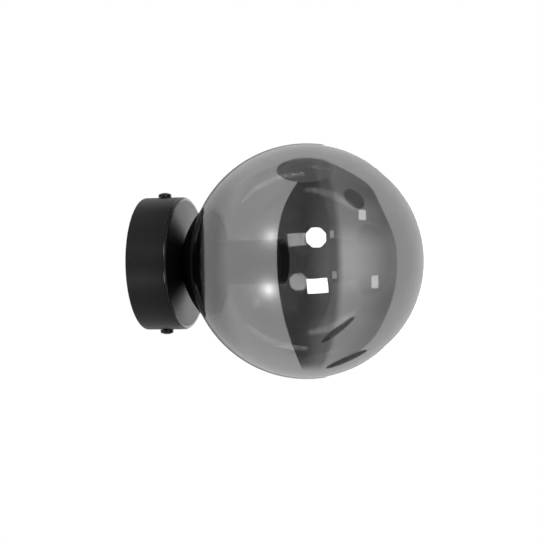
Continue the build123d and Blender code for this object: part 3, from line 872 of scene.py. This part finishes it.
def stage_card(name, verts, faces, light):
    """A piece of the studio that the camera doesn't see."""
    mesh = bpy.data.meshes.new(name)
    mesh.from_pydata([tuple(vert) for vert in verts], [], faces)
    mesh.materials.append(light)
    card = bpy.data.objects.new(name, mesh)
    bpy.context.scene.collection.objects.link(card)
    card.visible_camera = False
    card.visible_shadow = False
    return card


def glow(name, strength):
    """A plain white emitting surface."""
    finish = bpy.data.materials.new(name)
    finish.use_nodes = True
    nodes = finish.node_tree.nodes
    nodes.clear()
    light = nodes.new("ShaderNodeEmission")
    light.inputs["Color"].default_value = (1, 1, 1, 1)
    light.inputs["Strength"].default_value = strength
    output = nodes.new("ShaderNodeOutputMaterial")
    finish.node_tree.links.new(light.outputs["Emission"], output.inputs["Surface"])
    return finish


def reflected(across, over):
    """Direction that the globe mirrors to the camera at a point turned across and over from its middle."""
    normal = right * sin(across) * cos(over) + up * sin(over) + back * cos(across) * cos(over)
    return 2 * normal.dot(back) * normal - back


def smooth(value, low, high):
    """Eased step from 0 at low to 1 at high."""
    share = min(1, max(0, (value - low) / (high - low)))
    return share * share * (3 - 2 * share)


def toned_patch(name, edges_at, tone_at, distance, columns=72, rows=72):
    """A glowing patch of the studio; edges_at(over) gives its left and right edge in degrees."""
    verts, tones = [], []
    for row in range(rows + 1):
        over = patch_bottom + (patch_top - patch_bottom) * row / rows
        left_edge, right_edge = edges_at(over)
        for column in range(columns + 1):
            across = left_edge + (right_edge - left_edge) * column / columns
            verts.append(lamp_centre + reflected(radians(across), radians(over)) * distance)
            tones.append(tone_at(across, over))
    faces = []
    for row in range(rows):
        for column in range(columns):
            corner = row * (columns + 1) + column
            faces.append((corner, corner + 1, corner + columns + 2, corner + columns + 1))
    light = glow(name + "_light", 1.0)
    nodes = light.node_tree.nodes
    value = nodes.new("ShaderNodeAttribute")
    value.attribute_name = "tone"
    emission = next(node for node in nodes if node.type == "EMISSION")
    light.node_tree.links.new(value.outputs["Fac"], emission.inputs["Strength"])
    patch = stage_card(name, verts, faces, light)
    held = patch.data.attributes.new("tone", "FLOAT", "POINT")
    held.data.foreach_set("value", tones)
    patch.visible_diffuse = False
    return patch


def room_edges(over):
    """Left and right edge of the room in the globe, in degrees."""
    if over > 0:
        left = -14.6 + 0.000143 * over**3
        right = 47.8 - 4.6 * smooth(over, 4, 30) - 30 * smooth(over, 34, 66)
    else:
        left = -14.6 + 0.0022 * over**2
        right = 48.0 - 1.8 * smooth(-over, 8, 40) - 24 * smooth(-over, 36, 76)
    return left, right


def room_tone(across, over):
    """Brightness of the room in the globe, by the angles of the globe's normal in degrees."""
    wall = 0.22 * smooth(across, -2, 12) + 0.80 * smooth(across, 13, 18) - 0.65 * smooth(across, 18, 47)
    height = 1 - 0.42 * smooth(abs(over), 4, 20) - 0.12 * smooth(over, 6, 20)
    height -= 0.25 * smooth(over, 24, 34) + 0.15 * smooth(-over, 26, 36)
    floor_light = 0.12 * smooth(-over, 24, 34) * smooth(across, -8, 10)
    tone = 0.02 + wall * height + floor_light
    fade = max(smooth(-over, 56, 69), 0.7 * smooth(over, 50, 60))
    return tone + (backdrop_side - tone) * fade


def diffuser_edges(over):
    """The white diffuser stands left of the room."""
    room_left = room_edges(over)[0]
    return room_left - diffuser_width, room_left


def diffuser_tone(across, over):
    """Two lamps shine through the diffuser as soft spots, a little wider than high."""
    spots = 0
    for place, level, strength in diffuser_spots:
        away = hypot((across - place) * spot_squeeze, over - level)
        spots += strength * exp(-((away / spot_radius) ** spot_fall))
    return backdrop_side + spots


toned_patch("studio_room", room_edges, room_tone, room_distance)
diffuser = toned_patch("studio_diffuser", diffuser_edges, diffuser_tone, diffuser_distance)
diffuser.visible_transmission = False


def soft_box(name, azimuth, elevation, width, height, corners, tilt=0.0):
    """A soft box facing the globe; corners is the number of its sides."""
    level_heading = right * sin(azimuth) + back * cos(azimuth)
    heading = level_heading * cos(elevation) + up * sin(elevation)
    side = up.cross(heading).normalized()
    top = heading.cross(side)
    middle = lamp_centre + heading * soft_box_distance
    verts = []
    for index in range(corners):
        angle = 2 * pi * (index + 0.5) / corners + tilt
        shape = 1 / cos(pi / corners)
        verts.append(middle + (side * cos(angle) * width + top * sin(angle) * height) / 2 * shape)
    stage_card(name, verts, [tuple(range(corners))], glow(name + "_light", soft_box_strength))


def mirrored(place_right, place_up):
    """Where a small panel stands that the globe shows so far from its middle, in radii of the globe."""
    over = asin(place_up)
    return lamp_centre + reflected(asin(place_right / cos(over)), over) * panel_distance


def small_panel(name, middle, half_width, half_height, strength, oval=False, turn=0.0, points=32):
    """A small panel, a rectangle or an oval as the globe shows it, sized in radii of the globe."""
    outline = []
    for step in range(points):
        angle = 2 * pi * (step + 0.5) / points
        shape = 1 if oval else 1 / max(abs(cos(angle)), abs(sin(angle)))
        along, aside = half_width * cos(angle) * shape, half_height * sin(angle) * shape
        place_right = middle[0] + along * cos(turn) - aside * sin(turn)
        place_up = middle[1] + along * sin(turn) + aside * cos(turn)
        outline.append(mirrored(place_right, place_up))
    stage_card(name, outline, [tuple(range(points))], glow(name + "_light", strength))


small_panel("lamp_shade", (0.392, 0.500), 0.100, 0.062, 0.03, oval=True, turn=-0.75)
small_panel("table_edge", (0.245, -0.565), 0.170, 0.026, 0.004, oval=True, turn=0.66)
small_panel("table_leg", (0.330, -0.815), 0.185, 0.024, 0.004, oval=True, turn=0.42)
small_panel("overhead_reflector", (0.0, 0.751), 0.233, 0.106, 0.16, oval=True)
small_panel("window_high", (0.454, 0.367), 0.030, 0.042, 1.5)
small_panel("window_low", (0.548, -0.177), 0.028, 0.052, 1.6)
small_panel("sign_high", (0.199, 0.214), 0.016, 0.030, 0.7)
small_panel("sign_low", (0.216, -0.117), 0.018, 0.030, 0.7)

soft_box("soft_box_high", radians(8.6), radians(21.7), 0.41, 0.42, 8)
soft_box("soft_box_low", radians(9.4), radians(-23.4), 0.43, 0.31, 4, tilt=radians(6))

bounce_near, bounce_far, bounce_side, bounce_rise = 0.04, 0.16, 0.30, 0.15
bounce_strength = 2.3
bounce_card = stage_card(
    "bounce_card",
    [
        (bounce_near, bounce_side, -bounce_rise),
        (bounce_far, bounce_side, -bounce_rise),
        (bounce_far, bounce_side, bounce_rise),
        (bounce_near, bounce_side, bounce_rise),
    ],
    [(0, 1, 2, 3)],
    glow("bounce_card_light", bounce_strength),
)
bounce_card.visible_transmission = False
bounce_card.visible_diffuse = False

floor_level = -0.32
floor_radius = 0.97
floor_white = 0.8
floor_glow = 0.23
floor_points = 96


def pale_floor():
    """Pale paper that takes shadows, lifted to white where the camera sees it, and clear from below."""
    finish, shader = new_finish("pale_floor", (floor_white, floor_white, floor_white), 0.9)
    shader.inputs["Specular IOR Level"].default_value = 0.0
    nodes, links = finish.node_tree.nodes, finish.node_tree.links
    shader.inputs["Emission Color"].default_value = (1, 1, 1, 1)
    ray = nodes.new("ShaderNodeLightPath")
    lift = nodes.new("ShaderNodeMath")
    lift.operation = "MULTIPLY"
    lift.inputs[1].default_value = floor_glow
    links.new(ray.outputs["Is Camera Ray"], lift.inputs[0])
    links.new(lift.outputs["Value"], shader.inputs["Emission Strength"])
    side = nodes.new("ShaderNodeNewGeometry")
    from_below = nodes.new("ShaderNodeBsdfTransparent")
    one_sided = nodes.new("ShaderNodeMixShader")
    links.new(side.outputs["Backfacing"], one_sided.inputs["Fac"])
    links.new(shader.outputs["BSDF"], one_sided.inputs[1])
    links.new(from_below.outputs["BSDF"], one_sided.inputs[2])
    links.new(one_sided.outputs["Shader"], nodes["Material Output"].inputs["Surface"])
    return finish


floor_rim = []
for step in range(floor_points):
    angle = 2 * pi * step / floor_points
    floor_rim.append((lamp_centre.x + floor_radius * cos(angle), floor_radius * sin(angle), floor_level))
floor_mesh = bpy.data.meshes.new("studio_floor")
floor_mesh.from_pydata(floor_rim, [], [tuple(range(floor_points))])
floor_mesh.materials.append(pale_floor())
studio_floor = bpy.data.objects.new("studio_floor", floor_mesh)
bpy.context.scene.collection.objects.link(studio_floor)
studio_floor.visible_glossy = False
studio_floor.visible_transmission = False

surroundings_fill = 0.8
wall_heading = Vector((-0.93, 0.36, 0)).normalized()
wall_start, wall_full = 0.70, 0.92
behind_turn = radians(7)
behind_edge, behind_full = radians(22), radians(11)

world = bpy.data.worlds.new("white_surroundings")
bpy.context.scene.world = world
world.use_nodes = True
world_nodes, world_links = world.node_tree.nodes, world.node_tree.links
world_nodes.clear()
path = world_nodes.new("ShaderNodeLightPath")
heading = world_nodes.new("ShaderNodeTexCoord")


def brighter(first, second):
    """The larger of two values."""
    larger = world_nodes.new("ShaderNodeMath")
    larger.operation = "MAXIMUM"
    world_links.new(first, larger.inputs[0])
    world_links.new(second, larger.inputs[1])
    return larger.outputs["Value"]


def toward(direction, start, full, tone):
    """Eases the surroundings to a tone towards a direction; start and full are cosines of its two edges."""
    along = world_nodes.new("ShaderNodeVectorMath")
    along.operation = "DOT_PRODUCT"
    along.inputs[1].default_value = tuple(direction)
    world_links.new(heading.outputs["Generated"], along.inputs[0])
    ease = world_nodes.new("ShaderNodeMapRange")
    ease.interpolation_type = "SMOOTHSTEP"
    ease.inputs["From Min"].default_value = start
    ease.inputs["From Max"].default_value = full
    ease.inputs["To Max"].default_value = tone
    world_links.new(along.outputs["Value"], ease.inputs["Value"])
    return ease


beside = toward(wall_heading, wall_start, wall_full, backdrop_wall)
beside.inputs["To Min"].default_value = backdrop_side
straight_behind = -back * cos(behind_turn) - right * sin(behind_turn)
behind = toward(straight_behind, cos(behind_edge), cos(behind_full), backdrop_behind)
world_links.new(beside.outputs["Result"], behind.inputs["To Min"])
white = world_nodes.new("ShaderNodeBackground")
white.inputs["Color"].default_value = (1, 1, 1, 1)
world_links.new(brighter(path.outputs["Is Camera Ray"], behind.outputs["Result"]), white.inputs["Strength"])
fill = world_nodes.new("ShaderNodeBackground")
fill.inputs["Color"].default_value = (surroundings_fill, surroundings_fill, surroundings_fill, 1)
seen_or_mirrored = brighter(path.outputs["Is Camera Ray"], path.outputs["Is Glossy Ray"])
choose = world_nodes.new("ShaderNodeMixShader")
world_out = world_nodes.new("ShaderNodeOutputWorld")
world_links.new(brighter(seen_or_mirrored, path.outputs["Is Transmission Ray"]), choose.inputs["Fac"])
world_links.new(fill.outputs["Background"], choose.inputs[1])
world_links.new(white.outputs["Background"], choose.inputs[2])
world_links.new(choose.outputs["Shader"], world_out.inputs["Surface"])

# ---- Camera ----------------------------------------------------------------------------------------------
# Level with the lamp, a little to the front of straight from the side, about 1.2 m away, with a slight
# roll. The lamp's centre stands off the middle of the picture, so the camera is moved and not shifted.
rolled_right = right * cos(camera_roll) + up * sin(camera_roll)
rolled_up = up * cos(camera_roll) - right * sin(camera_roll)
camera_place = lamp_centre + back * camera_distance
camera_place -= rolled_right * centre_right / focal_pixels * camera_distance
camera_place -= rolled_up * centre_up / focal_pixels * camera_distance
camera_data = bpy.data.cameras.new("camera")
camera_data.sensor_width = sensor_width
camera_data.lens = focal_pixels * sensor_width / picture_width
camera = bpy.data.objects.new("camera", camera_data)
bpy.context.scene.collection.objects.link(camera)
turn = Matrix((rolled_right, rolled_up, back)).transposed().to_4x4()
camera.matrix_world = Matrix.Translation(camera_place) @ turn
bpy.context.scene.camera = camera
bpy.context.scene.view_settings.view_transform = "Standard"
